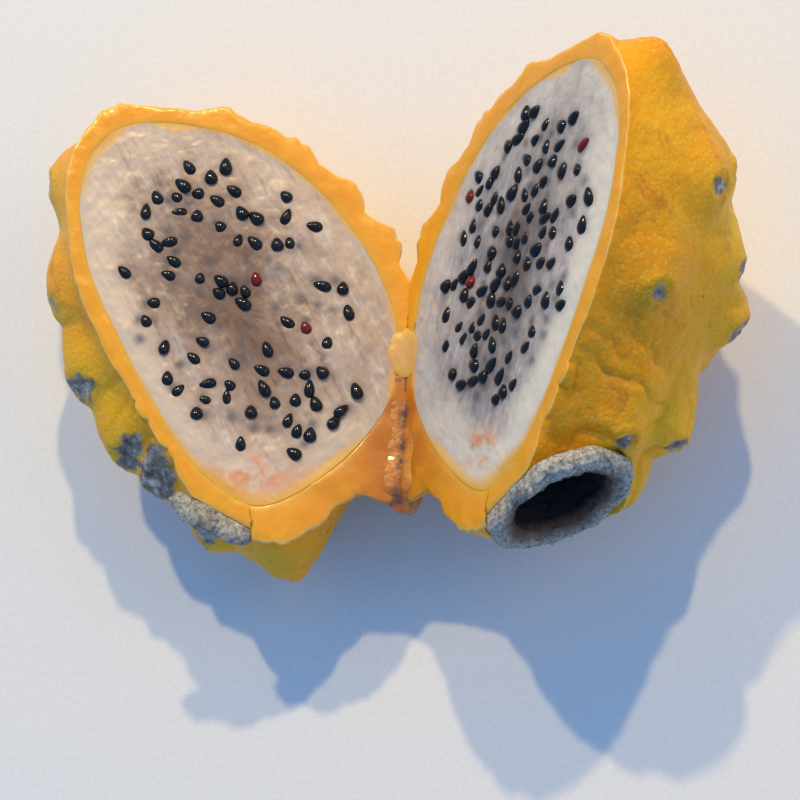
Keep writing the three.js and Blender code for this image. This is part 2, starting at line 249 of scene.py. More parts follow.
def cut_latitude(body):
    return -math.asin(CENTRE[2] / body["left"])


def latitudes_inside(body, side, count):
    """Latitudes from next to the cut to next to the back's pole."""
    cut = cut_latitude(body)
    return cut + (side * math.pi / 2 - cut) * np.arange(1, count) / count


def share_at(outline, angle):
    """The outline's share s whose direction from the centre is nearest to a compass angle."""
    s = np.arange(360) / 360
    offset = on_outline(outline, s) - CENTRE[:2]
    turn = np.arctan2(offset[:, 1], offset[:, 0]) - angle
    return s[np.argmin(np.abs(np.arctan2(np.sin(turn), np.cos(turn))))]


def tubercle_tips():
    """Each tubercle's place, lean, height and breadth."""
    tips = []
    for compass, latitude, height, size in TUBERCLES:
        s = share_at(RIND["outline"], math.radians(compass))
        at = body_point(RIND, np.array(s), np.array(math.radians(latitude)))
        lean = (SCAR_CENTRE - at) / np.linalg.norm(SCAR_CENTRE - at)
        tips.append((at, lean, height, size))
    return tips


TIPS = tubercle_tips()


def relief(points):
    """Height of the rind's main relief, the same as the solids have."""
    height = np.zeros(points.shape[:-1])
    for at, lean, tall, size in TIPS:
        offset = points - at
        ahead = offset @ lean
        aside = np.maximum((offset**2).sum(axis=-1) - ahead**2, 0)
        reach = np.where(ahead > 0, TUBERCLE_FRONT, TUBERCLE_TAIL)
        fall = ((ahead / reach) ** 2 + aside / TUBERCLE_WIDTH**2) / size**2
        height = np.maximum(height, tall * np.exp(-fall / 2))
    angle = np.arctan2(points[..., 1] - CENTRE[1], points[..., 0] - CENTRE[0])
    swell = np.exp(-(((points[..., 2] - LEFT_SWELL["at"]) / LEFT_SWELL["width"]) ** 2))
    height += LEFT_SWELL["height"] * swell * np.cos((angle - LEFT_SWELL["towards"]) / 2) ** 2
    valley = np.exp(-((points[..., 2] / CUT_VALLEY["width"]) ** 2))
    height *= 1 - CUT_VALLEY["share"] * valley * np.cos((angle - CUT_VALLEY["towards"]) / 2) ** 2
    from_scar = np.linalg.norm(points - SCAR_CENTRE, axis=-1) / SCAR_BULGE["width"]
    return height + SCAR_BULGE["height"] * np.exp(-(from_scar**2) / 2)


def tip_distance(points):
    """For each point the distance to the nearest tubercle's tip, and that tubercle's number."""
    distances = np.stack([np.linalg.norm(points - (at + 2.0 * lean), axis=-1) for at, lean, *_ in TIPS])
    return distances.min(axis=0), distances.argmin(axis=0)


def tip_luck(number):
    """A repeatable number between 0 and 1 for each tubercle."""
    return lattice_value(np.stack([number, number, number], axis=-1), 5)


def fine_relief(points):
    """Waxy unevenness, wrinkles that run to the flower end, and the pits at the tubercles' tips."""
    small = 0.45 * fractal(points, 9.0, 3) + 0.10 * fractal(points, 2.2, 9, 3)
    to_scar = np.linalg.norm(points - SCAR_CENTRE, axis=-1)
    along = points @ SCAR_AXIS
    stretched = points + 0.75 * (SCAR_AXIS * -along[..., None])
    furrow = 1 - np.abs(noise(stretched, 5.0, 21) + 0.35 * noise(points, 3.0, 22))
    wrinkles = -1.3 * furrow**5 * smooth(52, 22, to_scar)
    distance, number = tip_distance(points)
    pit = -1.1 * np.exp(-((distance / 1.7) ** 2)) + 0.5 * np.exp(-(((distance - 3.2) / 1.1) ** 2))
    rough = smooth(6.0, 2.0, distance) * 0.4 * fractal(points, 1.3, 31, 2)
    return small + wrinkles + pit * (0.4 + 0.6 * tip_luck(number)) + rough


def scar_place(points):
    """Height along the flower scar's axis and distance from it."""
    offset = points - SCAR_CENTRE
    height = offset @ SCAR_AXIS
    across = offset - height[..., None] * SCAR_AXIS
    return height, np.linalg.norm(across, axis=-1)


def carved(points, side, grow, reach=0.0):
    """Points pushed down to the floor of the room that the flower scar takes, and kept on their side."""
    height, radius = scar_place(points)
    foot, shoulder = CUP_FOOT + grow, SCAR_HOLLOW + CUP_WALL + grow
    floor = np.interp(radius, [foot, shoulder], [-SCAR_DEPTH - grow, -COLLAR_THICKNESS - grow])
    inside = radius < SCAR_RADIUS + reach
    drop = np.where(inside, np.maximum(height - floor, 0), 0)
    moved = points - drop[..., None] * SCAR_AXIS
    w = points[..., 2]
    settled = w + (moved[..., 2] - w) * smooth(0.0, 4.0, np.abs(w))
    moved[..., 2] = side * np.maximum(side * settled, np.minimum(side * w, 0))
    return moved


# Folding out and resting


def turn_matrix():
    """The rest pose: pitched, then rolled."""
    cr, sr = math.cos(REST_ROLL), math.sin(REST_ROLL)
    cp, sp = math.cos(REST_PITCH), math.sin(REST_PITCH)
    roll = np.array([[cr, 0, sr], [0, 1, 0], [-sr, 0, cr]])
    pitch = np.array([[1, 0, 0], [0, cp, -sp], [0, sp, cp]])
    return roll @ pitch


TURN = turn_matrix()


def at_rest(points):
    """Fold-frame millimetres to the part's frame in metres."""
    return (points @ TURN.T + HINGE) * MM


def folded(points, side):
    """One half's closed-fruit millimetres, folded out and laid at rest in metres."""
    u, v, w = points[..., 0], points[..., 1], points[..., 2]
    c, s = math.cos(FOLD_ANGLE), math.sin(FOLD_ANGLE)
    return at_rest(np.stack([side * c * u + s * w, v, s * u - side * c * w], axis=-1))


# Mesh making


def turned_outwards(points, quads, triangles):
    """The same faces, reversed where they would enclose a negative volume."""
    volume = 0.0
    for order in ((0, 1, 2), (0, 2, 3)):
        a, b, c = (points[quads[:, k]] for k in order)
        volume += (a * np.cross(b, c)).sum()
    if volume < 0:
        return quads[:, ::-1], triangles[:, ::-1]
    return quads, triangles


def mesh_object(name, points, quads, triangles, materials, face_material=None, masks=None):
    """A smooth-shaded object from points, quads and triangles, with its masks as attributes."""
    mesh = bpy.data.meshes.new(name)
    quads, triangles = turned_outwards(points, quads, triangles)
    corners = np.concatenate([quads.ravel(), triangles.ravel()])
    sizes = np.concatenate([np.full(len(quads), 4), np.full(len(triangles), 3)])
    starts = np.concatenate([[0], np.cumsum(sizes)[:-1]])
    mesh.vertices.add(len(points))
    mesh.vertices.foreach_set("co", points.astype(np.float32).ravel())
    mesh.loops.add(len(corners))
    mesh.loops.foreach_set("vertex_index", corners.astype(np.int32))
    mesh.polygons.add(len(sizes))
    mesh.polygons.foreach_set("loop_start", starts.astype(np.int32))
    mesh.polygons.foreach_set("use_smooth", np.ones(len(sizes), bool))
    for material in materials:
        mesh.materials.append(material)
    if face_material is not None:
        mesh.polygons.foreach_set("material_index", face_material.astype(np.int32))
    for key, values in (masks or {}).items():
        layer = mesh.attributes.new(key, "FLOAT", "POINT")
        layer.data.foreach_set("value", values.astype(np.float32).ravel())
    mesh.update(calc_edges=True)
    mesh.validate()
    piece = bpy.data.objects.new(name, mesh)
    bpy.context.scene.collection.objects.link(piece)
    return piece


def ring_grid(rows, columns):
    """Quads between rows of points that each close on themselves."""
    r, c = np.meshgrid(np.arange(rows - 1), np.arange(columns), indexing="ij")
    after = (c + 1) % columns
    here = r * columns
    below = here + columns
    return np.stack([here + c, here + after, below + after, below + c], axis=-1).reshape(-1, 4)


def capped(rows, columns):
    """Quads of a ring grid, and the fans that join its first and last row to two pole points."""
    c = np.arange(columns)
    after = (c + 1) % columns
    first, last = rows * columns, rows * columns + 1
    end = (rows - 1) * columns
    start_fan = np.stack([np.full(columns, first), after, c], axis=-1)
    end_fan = np.stack([np.full(columns, last), end + c, end + after], axis=-1)
    return ring_grid(rows, columns), np.concatenate([start_fan, end_fan])


def dressed(piece, node):
    """Carry a piece on the body, in place of a solid, which is hidden."""
    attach(piece, "root")
    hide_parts(node)


# Node helpers for materials


class Nodes:
    """A short way to write a material's node tree."""

    def __init__(self, name):
        self.material = bpy.data.materials.new(name)
        self.material.use_nodes = True
        self.tree = self.material.node_tree
        self.shader = self.tree.nodes["Principled BSDF"]
        self.place = self.tree.nodes.new("ShaderNodeTexCoord").outputs["Object"]

    def node(self, kind, **settings):
        made = self.tree.nodes.new(kind)
        for key, value in settings.items():
            setattr(made, key, value)
        return made

    def put(self, socket, value):
        if isinstance(value, bpy.types.NodeSocket):
            self.tree.links.new(value, socket)
        elif isinstance(value, (tuple, list)) and len(value) == 3 and socket.type == "RGBA":
            socket.default_value = (*value, 1)
        else:
            socket.default_value = value

    def attribute(self, name):
        return self.node("ShaderNodeAttribute", attribute_name=name).outputs["Fac"]

    def pattern(self, kind, place, **values):
        """A node that works from a place, with its numbers set."""
        made = self.node(kind)
        self.tree.links.new(place, made.inputs["Vector"])
        for key, value in values.items():
            made.inputs[key].default_value = value
        return made

    def noise(self, scale, detail=4.0, rough=0.55):
        values = {"Scale": scale, "Detail": detail, "Roughness": rough}
        return self.pattern("ShaderNodeTexNoise", self.place, **values).outputs["Fac"]

    def strands(self, scale, turn):
        """Noise drawn out along a compass direction, for fibres."""
        mapping = self.pattern("ShaderNodeMapping", self.place, Rotation=(0, 0, turn), Scale=(1, 5, 1))
        mapping.vector_type = "TEXTURE"
        values = {"Scale": scale, "Detail": 5.0, "Roughness": 0.7, "Distortion": 0.3}
        return self.pattern("ShaderNodeTexNoise", mapping.outputs["Vector"], **values).outputs["Fac"]

    def cells(self, scale):
        return self.pattern("ShaderNodeTexVoronoi", self.place, Scale=scale).outputs["Distance"]

    def times(self, a, b):
        made = self.node("ShaderNodeMath", operation="MULTIPLY")
        self.put(made.inputs[0], a)
        self.put(made.inputs[1], b)
        return made.outputs["Value"]

    def span(self, value, low, high, to_low=0.0, to_high=1.0):
        """A soft step of a value, from to_low at low to to_high at high."""
        made = self.node("ShaderNodeMapRange", interpolation_type="SMOOTHSTEP")
        self.put(made.inputs["Value"], value)
        for key, number in (("From Min", low), ("From Max", high), ("To Min", to_low), ("To Max", to_high)):
            made.inputs[key].default_value = number
        return made.outputs["Result"]

    def mix(self, factor, a, b):
        made = self.node("ShaderNodeMix", data_type="RGBA")
        self.put(made.inputs["Factor"], factor)
        self.put(made.inputs["A"], a)
        self.put(made.inputs["B"], b)
        return made.outputs["Result"]

    def ramp(self, value, stops):
        made = self.node("ShaderNodeValToRGB")
        elements = made.color_ramp.elements
        while len(elements) < len(stops):
            elements.new(0.5)
        for element, (position, colour) in zip(elements, stops):
            element.position = position
            element.color = (*colour, 1)
        self.put(made.inputs["Fac"], value)
        return made.outputs["Color"]

    def bump(self, height, strength, distance, under=None):
        made = self.node("ShaderNodeBump")
        self.put(made.inputs["Height"], height)
        made.inputs["Strength"].default_value = strength
        made.inputs["Distance"].default_value = distance
        if under is not None:
            self.tree.links.new(under, made.inputs["Normal"])
        return made.outputs["Normal"]

    def finish(self, **inputs):
        for key, value in inputs.items():
            self.put(self.shader.inputs[key.replace("_", " ")], value)
        return self.material


def translucent(m, weight, radius, scale):
    """Light that enters the fruit and leaves it nearby."""
    m.shader.inputs["Subsurface Weight"].default_value = weight
    m.shader.inputs["Subsurface Radius"].default_value = radius
    m.shader.inputs["Subsurface Scale"].default_value = scale


def moist(m, weight, rough):
    """A thin wet coat over the surface."""
    m.shader.inputs["Coat Weight"].default_value = weight
    m.shader.inputs["Coat Roughness"].default_value = rough


# Colours in linear red, green and blue, and ramps of them

SKIN_COLOURS = [
    (0.30, (0.88, 0.29, 0.003)),
    (0.48, (0.98, 0.40, 0.004)),
    (0.62, (1.0, 0.48, 0.006)),
    (0.80, (0.95, 0.52, 0.02)),
]
OLIVE = (0.50, 0.38, 0.02)
YELLOW_BACK = (0.86, 0.46, 0.015)
PALE_DOT = (0.98, 0.64, 0.11)
RUST = (0.48, 0.13, 0.015)
BROWN_SPECK = (0.18, 0.07, 0.02)
FRESH_EDGE = (1.0, 0.38, 0.004)
TIP_CORK = [
    (0.30, (0.04, 0.03, 0.025)),
    (0.50, (0.22, 0.19, 0.16)),
    (0.62, (0.44, 0.42, 0.38)),
    (0.75, (0.70, 0.68, 0.62)),
]
CUT_RING = [
    (0.0, (0.90, 0.62, 0.22)),
    (0.10, (0.96, 0.40, 0.006)),
    (0.60, (0.95, 0.36, 0.005)),
    (1.0, (0.93, 0.44, 0.03)),
]
CUT_MOTTLE = (0.95, 0.46, 0.015)
DARK_AMBER = (0.55, 0.15, 0.003)
WET_AMBER = [
    (0.30, (0.42, 0.10, 0.003)),
    (0.55, (0.68, 0.22, 0.006)),
    (0.75, (0.86, 0.38, 0.02)),
]
BROWN_CREASE = (0.16, 0.05, 0.012)
FIBRE_WHITE = (0.86, 0.79, 0.73)
ORANGE_RIM = (0.94, 0.46, 0.05)
SEED_SHADE = (0.16, 0.09, 0.06)
SUNK_SEED = (0.09, 0.08, 0.085)
ORANGE_BLOTCH = (0.86, 0.24, 0.02)
# Each lobe's flesh colours, with painted light: the left set is warmer, as painted warm reflected light, and
# the right set greyer and bluer, as painted blue sky light
LEFT_FLESH_PAINTED_WARM_LIGHT = {
    "pale": (0.68, 0.50, 0.38),
    "grey": (0.46, 0.31, 0.22),
    "core": (0.14, 0.055, 0.026),
    "cream": (0.74, 0.57, 0.42),
    "turn": math.radians(30),
}
RIGHT_FLESH_PAINTED_SKY_LIGHT = {
    "pale": (0.60, 0.51, 0.46),
    "grey": (0.38, 0.33, 0.32),
    "core": (0.10, 0.075, 0.062),
    "cream": (0.80, 0.71, 0.58),
    "turn": math.radians(-24),
}
BRIDGE_FLESH = {
    "pale": (0.72, 0.42, 0.24),
    "grey": (0.60, 0.30, 0.13),
    "core": (0.52, 0.24, 0.09),
    "cream": (0.72, 0.44, 0.25),
    "turn": math.radians(30),
}
SEED_TONES = [
    (0.0, (0.004, 0.004, 0.006)),
    (0.95, (0.008, 0.008, 0.011)),
    (0.96, (0.16, 0.008, 0.006)),
]
SCAR_CORK = [
    (0.34, (0.05, 0.04, 0.035)),
    (0.46, (0.30, 0.28, 0.24)),
    (0.58, (0.52, 0.51, 0.46)),
    (0.72, (0.82, 0.80, 0.73)),
]
SCAR_BROWNS = ((0.05, 0.03, 0.02), (0.24, 0.15, 0.10))
# Near black, painted as shade in the deep part of the flower scar's hollow
PAINTED_HOLLOW_SHADE = (0.006, 0.005, 0.006)
PAPER = ((0.80, 0.79, 0.775), (0.85, 0.84, 0.825))


def skin_material():
    m = Nodes("rind_skin")
    colour = m.ramp(m.noise(26.0, 5.0, 0.6), SKIN_COLOURS)
    olive = m.times(m.attribute("tip"), m.span(m.noise(38.0, 5.0), 0.35, 0.62))
    colour = m.mix(m.times(olive, 0.65), colour, OLIVE)
    colour = m.mix(m.times(m.attribute("back"), 0.3), colour, YELLOW_BACK)
    dots = m.cells(950.0)
    colour = m.mix(m.times(m.span(dots, 0.42, 0.20), 0.35), colour, PALE_DOT)
    streaks = m.span(m.strands(130.0, 0.5), 0.56, 0.70)
    colour = m.mix(m.times(streaks, 0.5), colour, RUST)
    specks = m.span(m.noise(330.0, 3.0, 0.6), 0.69, 0.76)
    colour = m.mix(m.times(specks, 0.6), colour, BROWN_SPECK)
    colour = m.mix(m.attribute("edge"), colour, FRESH_EDGE)
    cork = m.ramp(m.noise(420.0, 5.0, 0.7), TIP_CORK)
    colour = m.mix(m.attribute("areole"), colour, cork)
    rough = m.span(m.noise(210.0), 0.2, 0.8, 0.36, 0.55)
    normal = m.bump(dots, 0.3, 0.0004)
    normal = m.bump(m.noise(900.0, 3.0), 0.3, 0.0003, normal)
    translucent(m, 0.15, (1.0, 0.35, 0.03), 0.003)
    return m.finish(Base_Color=colour, Roughness=rough, Normal=normal, Specular_IOR_Level=0.22)


def cut_rind_material():
    m = Nodes("rind_cut")
    colour = m.ramp(m.attribute("ring"), CUT_RING)
    mottled = m.span(m.noise(120.0, 5.0, 0.6), 0.38, 0.66)
    colour = m.mix(m.times(mottled, 0.4), colour, CUT_MOTTLE)
    blotched = m.span(m.noise(150.0, 5.0, 0.6), 0.25, 0.6, 0.45, 1.0)
    colour = m.mix(m.times(m.attribute("amber"), blotched), colour, DARK_AMBER)
    rough = m.span(m.noise(300.0), 0.3, 0.7, 0.25, 0.42)
    normal = m.bump(m.noise(500.0, 5.0), 0.3, 0.0004)
    translucent(m, 0.3, (1.0, 0.3, 0.02), 0.004)
    moist(m, 0.12, 0.15)
    return m.finish(Base_Color=colour, Roughness=rough, Normal=normal)


def flesh_material(name, pale, grey, core, cream, turn):
    """Cloudy flesh with fibres, a dark core, a pale band and an orange rim, shaded around its seeds."""
    m = Nodes(name)
    colour = m.mix(m.span(m.noise(55.0, 5.0, 0.6), 0.35, 0.65), grey, pale)
    fibres = m.strands(420.0, turn)
    colour = m.mix(m.span(fibres, 0.50, 0.68, 0.0, 0.5), colour, FIBRE_WHITE)
    colour = m.mix(m.span(fibres, 0.46, 0.32, 0.0, 0.5), colour, core)
    inner = m.times(m.attribute("core"), m.span(m.noise(70.0, 5.0), 0.25, 0.6, 0.35, 1.0))
    colour = m.mix(inner, colour, core)
    colour = m.mix(m.attribute("band"), colour, cream)
    colour = m.mix(m.attribute("rim"), colour, ORANGE_RIM)
    colour = m.mix(m.times(m.attribute("shade"), 0.6), colour, SEED_SHADE)
    colour = m.mix(m.times(m.attribute("sunk"), 0.75), colour, SUNK_SEED)
    blotch = m.times(m.attribute("blush"), m.span(m.noise(200.0, 4.0, 0.6), 0.42, 0.58))
    colour = m.mix(blotch, colour, ORANGE_BLOTCH)
    rough = m.span(m.noise(240.0), 0.3, 0.7, 0.35, 0.55)
    normal = m.bump(fibres, 0.4, 0.0006)
    normal = m.bump(m.noise(900.0), 0.2, 0.0003, normal)
    translucent(m, 0.3, (1.0, 0.6, 0.38), 0.004)
    moist(m, 0.08, 0.2)
    return m.finish(Base_Color=colour, Roughness=rough, Normal=normal)


def seed_material():
    m = Nodes("seed_black")
    colour = m.ramp(m.attribute("tone"), SEED_TONES)
    grain = m.noise(2600.0, 3.0)
    rough = m.span(grain, 0.3, 0.7, 0.16, 0.32)
    normal = m.bump(grain, 0.2, 0.0001)
    moist(m, 0.3, 0.06)
    return m.finish(Base_Color=colour, Roughness=rough, Normal=normal, Specular_IOR_Level=0.22)


def scar_material():
    m = Nodes("scar_cork")
    brown = m.mix(m.noise(200.0), *SCAR_BROWNS)
    colour = m.mix(m.attribute("inner"), m.ramp(m.noise(900.0, 6.0, 0.8), SCAR_CORK), brown)
    # Painted shade: the hollow's deep part is darkened almost to black
    colour = m.mix(m.attribute("hollow_shade"), colour, PAINTED_HOLLOW_SHADE)
    normal = m.bump(m.noise(1100.0, 4.0, 0.7), 0.6, 0.0006)
    return m.finish(Base_Color=colour, Roughness=0.9, Normal=normal, Specular_IOR_Level=0.3)


def hinge_material():
    m = Nodes("hinge_amber")
    colour = m.ramp(m.noise(110.0, 5.0, 0.6), WET_AMBER)
    strip = m.times(m.attribute("crease"), m.span(m.noise(240.0), 0.35, 0.6, 0.1, 1.0))
    colour = m.mix(strip, colour, BROWN_CREASE)
    normal = m.bump(m.noise(420.0, 5.0), 0.8, 0.0010)
    translucent(m, 0.3, (1.0, 0.3, 0.02), 0.004)
    moist(m, 0.7, 0.1)
    return m.finish(Base_Color=colour, Roughness=0.3, Normal=normal)


def floor_material():
    m = Nodes("paper")
    grain = m.noise(900.0, 4.0, 0.7)
    colour = m.mix(m.span(grain, 0.3, 0.7), *PAPER)
    return m.finish(Base_Color=colour, Roughness=0.85, Normal=m.bump(grain, 0.15, 0.0004))


# Rind


# Points of the rim that leave the outline, by their number
RIM_CORNER = {
    27: (18.5, -41), 28: (9.5, -35.5), 29: (2, -36.5), 30: (0, -26), 31: (0, -12), 0: (0, 0), 1: (0.4, 7),
}
RIM_POINTS = 32
CORNER_DEPTH = 6.0


def rim_outline():
    """The rind's outer edge at the cut, where a flap fills the corner between the hinge and the flesh."""
    points = on_outline(RIND["outline"], np.arange(RIM_POINTS) / RIM_POINTS)
    for index, corner in RIM_CORNER.items():
        points[index] = corner
    return points


RIM = rim_outline()


def behind_scar(points, side):
    """Flesh points kept out of the flower scar's room."""
    return carved(points, side, **FLESH_ROOM)


def flesh_edge(s):
    """The flesh's outline in the direction of the rind's outline at s."""
    flesh = on_outline(FLESH["outline"], np.arange(2000) / 2000)
    angles = np.arctan2(*(flesh - CENTRE[:2]).T[::-1])
    rind = on_outline(RIND["outline"], s) - CENTRE[:2]
    wanted = np.arctan2(rind[:, 1], rind[:, 0])
    order = np.argsort(angles)
    angles = np.concatenate([angles[order] + turn for turn in (-2 * np.pi, 0, 2 * np.pi)])
    flesh = np.tile(flesh[order], (3, 1))
    edge = np.stack([np.interp(wanted, angles, flesh[:, k]) for k in (0, 1)] + [0 * wanted], axis=-1)
    edge = behind_scar(edge, RIGHT)[:, :2]
    inward = CENTRE[:2] - edge
    return edge + TUCK * inward / np.linalg.norm(inward, axis=-1, keepdims=True)


def skin_rows(s, side):
    """Rows of skin points from the back's pole to the cut, and the same rows before their relief."""
    count = SKIN_ROWS[side]
    cut = cut_latitude(RIND)
    pole = side * math.pi / 2
    corner = on_outline(RIM, s) - on_outline(RIND["outline"], s)
    rows = []
    plain = []
    for latitude in pole + (cut - pole) * np.arange(1, count + 1) / count:
        points = body_point(RIND, s, np.full(len(s), latitude))
        plain.append(points.copy())
        near = 1 - smooth(0.0, CORNER_DEPTH, np.abs(points[:, 2]))
        points[:, :2] += near[:, None] * corner
        lift = relief(points) + fine_relief(points)
        hinge_side = np.exp(-((points[:, 0] / 4.0) ** 2)) * smooth(10.0, 4.0, points[:, 1])
        lift *= 1 - 0.95 * hinge_side * near
        push = outward(RIND, s, points) * lift[:, None]
        push[:, 2] *= smooth(0.0, 4.0, np.abs(points[:, 2]))
        rows.append(carved(points + push, side, SKIN_ROOM, -SKIN_ROOM))
    return rows, plain


def cut_rows(outer, inner, side):
    """Rows across the rind's cut face, rounded off at the skin and at the flesh."""
    rows = []
    for r in np.arange(1, CUT_ROWS + 1) / CUT_ROWS:
        points = np.zeros((len(outer), 3))
        points[:, :2] = outer + (inner - outer) * r
        crown = 0.32 * (1 - (2 * r - 1) ** 4) - 0.15 * smooth(0.9, 1.0, r)
        rise = crown * (1 + 0.5 * noise(points, 4.0, 41)) + 0.12 * fractal(points, 2.5, 42, 3) * (1 - r)
        points[:, 2] = -side * rise
        rows.append(points)
    return rows


def inner_rows(s, side):
    """Rows of the rind's inner wall, from the cut to the back."""
    rows = []
    for latitude in latitudes_inside(FLESH, side, INNER_ROWS):
        points = body_point(FLESH, s, np.full(len(s), latitude))
        rows.append(carved(points + RIND_GAP * outward(FLESH, s, points), side, **RIND_ROOM))
    return rows


def rind_masks(points, plain, side):
    """Where the rind has tips, cork, a fresh edge and amber, and how far across the cut each point is."""
    row_count = len(points) // RIND_COLUMNS
    row = np.concatenate([np.repeat(np.arange(row_count), RIND_COLUMNS), [0, row_count - 1]])
    distance, number = tip_distance(np.concatenate([plain, points[len(plain):]]))
    ragged = distance + 1.3 * fractal(points, 2.6, 51, 3)
    size = 0.9 + 2.3 * tip_luck(number)
    size += 1.6 * (points[:, 2] < 0) * smooth(-5, -30, points[:, 1])
    size *= number != CLEAN_TIP
    depth = np.abs(points[:, 2])
    along_hinge = smooth(2, -12, points[:, 1]) * smooth(-60, -30, points[:, 1])
    return {
        "tip": np.exp(-((distance / 5.5) ** 2)),
        "areole": smooth(size + 0.5, size - 0.5, ragged),
        "edge": np.exp(-depth / 3.0) * 0.85,
        "back": smooth(12, 34, depth),
        "ring": np.clip((row - SKIN_ROWS[side] + 1) / CUT_ROWS, 0, 1),
        "amber": np.exp(-((points[:, 0] / 17) ** 2)) * along_hinge,
    }


def rind_half(name, side, materials):
    """Skin, cut face and inner wall of one half, closed at both poles."""
    s = np.arange(RIND_COLUMNS) / RIND_COLUMNS
    skin, plain = skin_rows(s, side)
    rows = skin + cut_rows(skin[-1][:, :2], flesh_edge(s), side) + inner_rows(s, side)
    pole = np.array(side * math.pi / 2)
    back, inside = (body_point(body, np.array(0.0), pole) for body in (RIND, FLESH))
    back[2] += side * float(relief(back) + fine_relief(back[None])[0])
    points = np.concatenate(rows + [np.stack([back, inside])])
    quads, triangles = capped(len(rows), RIND_COLUMNS)
    row_of_face = np.repeat(np.arange(len(rows) - 1), RIND_COLUMNS)
    from_cut = row_of_face - (SKIN_ROWS[side] - 1)
    on_cut = (from_cut >= 0) & (from_cut < CUT_ROWS)
    face_material = np.concatenate([on_cut.astype(int), np.zeros(len(triangles), int)])
    masks = rind_masks(points, np.concatenate(plain), side)
    world = folded(points, side)
    world[:, 2] = np.maximum(world[:, 2], 0.0)
    return mesh_object(name, world, quads, triangles, materials, face_material, masks)


# Seeds


def draws(start):
    """Repeatable numbers between 0 and 1."""
    state = start
    while True:
        state = state * 16807 % 2147483647
        yield state / 2147483647


def sow(field):
    """Places and turns of one half's seeds, by the rule that the solids follow."""
    draw = draws(field["draw"])
    seeds = []
    for _ in range(SOWING_TRIES):
        if len(seeds) >= field["count"]:
            break
        turn = 2 * math.pi * next(draw)
        reach = next(draw) ** field["gather"]
        twist = SEED_SCATTER * (2 * next(draw) - 1)
        lengthwise = field["along"] * reach * math.cos(turn)
        sidewise = field["across"] * reach * math.sin(turn)
        u = field["centre"][0] + lengthwise * ALONG_AXIS[0] + sidewise * ACROSS_AXIS[0]
        v = field["centre"][1] + lengthwise * ALONG_AXIS[1] + sidewise * ACROSS_AXIS[1]
        if all(math.hypot(seed[0] - u, seed[1] - v) > SEED_SPACING for seed in seeds):
            seeds.append((u, v, AXIS_ANGLE + twist))
    return seeds


def seed_points(seed, side, draw):
    """A flattened teardrop lying in the flesh, rounded at one end and pointed at the other."""
    u, v, turn = seed
    length = SEED_LENGTH * (1.0 + 0.45 * next(draw))
    width = SEED_WIDTH * (1.05 + 0.38 * next(draw))
    turn += 1.2 * (next(draw) - 0.5)
    t = np.linspace(0, math.pi, SEED_RINGS)[1:-1]
    a = turns(SEED_AROUND)
    body = np.sin(t) * (1 - 0.32 * np.cos(t)) * width / 2
    x = np.outer(body, np.cos(a))
    z = np.outer(body, np.sin(a)) * SEED_FLATNESS
    y = np.outer(np.cos(t), np.ones(len(a))) * length / 2
    points = np.stack([x, y, z], axis=-1).reshape(-1, 3)
    points = np.concatenate([points, [[0, length / 2, 0], [0, -length / 2, 0]]])
    points[:, 2] += points[:, 1] * 0.3 * (next(draw) - 0.5)
    c, s = math.cos(-turn), math.sin(-turn)
    uv = points[:, :2] @ np.array([[c, s], [-s, c]])
    rise = 0.15 + 0.35 * next(draw)
    return np.stack([u + uv[:, 0], v + uv[:, 1], -side * (rise + points[:, 2])], axis=-1)


def seeds_piece(name, seeds, side, material):
    """All seeds of one half, each with its own tone."""
    draw = draws(77 + side)
    grid, fans = capped(SEED_RINGS - 2, SEED_AROUND)
    points, quads, triangles, tones = [], [], [], []
    base = 0
    for seed in seeds:
        one = seed_points(seed, side, draw)
        points.append(one)
        quads.append(grid + base)
        triangles.append(fans + base)
        tones.append(np.full(len(one), next(draw)))
        base += len(one)
    world = folded(np.concatenate(points), side)
    tone = {"tone": np.concatenate(tones)}
    return mesh_object(name, world, np.concatenate(quads), np.concatenate(triangles), [material], None, tone)


# Flesh


def seed_closeness(points, seeds, width):
    """1 on a seed, falling to 0 over about twice the width."""
    total = np.zeros(len(points))
    for u, v, _ in seeds:
        square = (points[:, 0] - u) ** 2 + (points[:, 1] - v) ** 2
        total = np.maximum(total, np.exp(-square / width**2))
    return total


def face_places(s):
    """Points of the cut face in rings, its middle last, and how far out each one lies."""
    edge = on_outline(FLESH["outline"], s)
    shares = np.sqrt(np.arange(1, FACE_ROWS + 1) / FACE_ROWS)
    rings = [FACE_MIDDLE + (edge - FACE_MIDDLE) * r for r in shares]
    flat = np.concatenate(rings + [FACE_MIDDLE[None]])
    return np.pad(flat, ((0, 0), (0, 1))), np.concatenate([np.repeat(shares, len(s)), [0.0]])


def face_rise(face, spread, seeds):
    """The cut flesh's height: swollen, lumpy and fibrous, raised around each seed and dipped under it."""
    fibre = np.stack([face[:, :2] @ ACROSS_AXIS, 0.25 * (face[:, :2] @ ALONG_AXIS), face[:, 2]], axis=-1)
    rise = 0.5 * (1 - spread**6) + 0.35 * fractal(face, 11.0, 61, 3)
    rise += 0.16 * fractal(fibre, 2.2, 62, 3) * (1 - smooth(0.8, 0.95, spread))
    rise += 0.10 * fractal(face, 1.4, 63, 2)
    rise += 0.18 * seed_closeness(face, seeds, 2.6) - 0.30 * seed_closeness(face, seeds, 1.5)
    return FACE_EDGE_HEIGHT + (rise - FACE_EDGE_HEIGHT) * (1 - smooth(0.93, 1.0, spread))


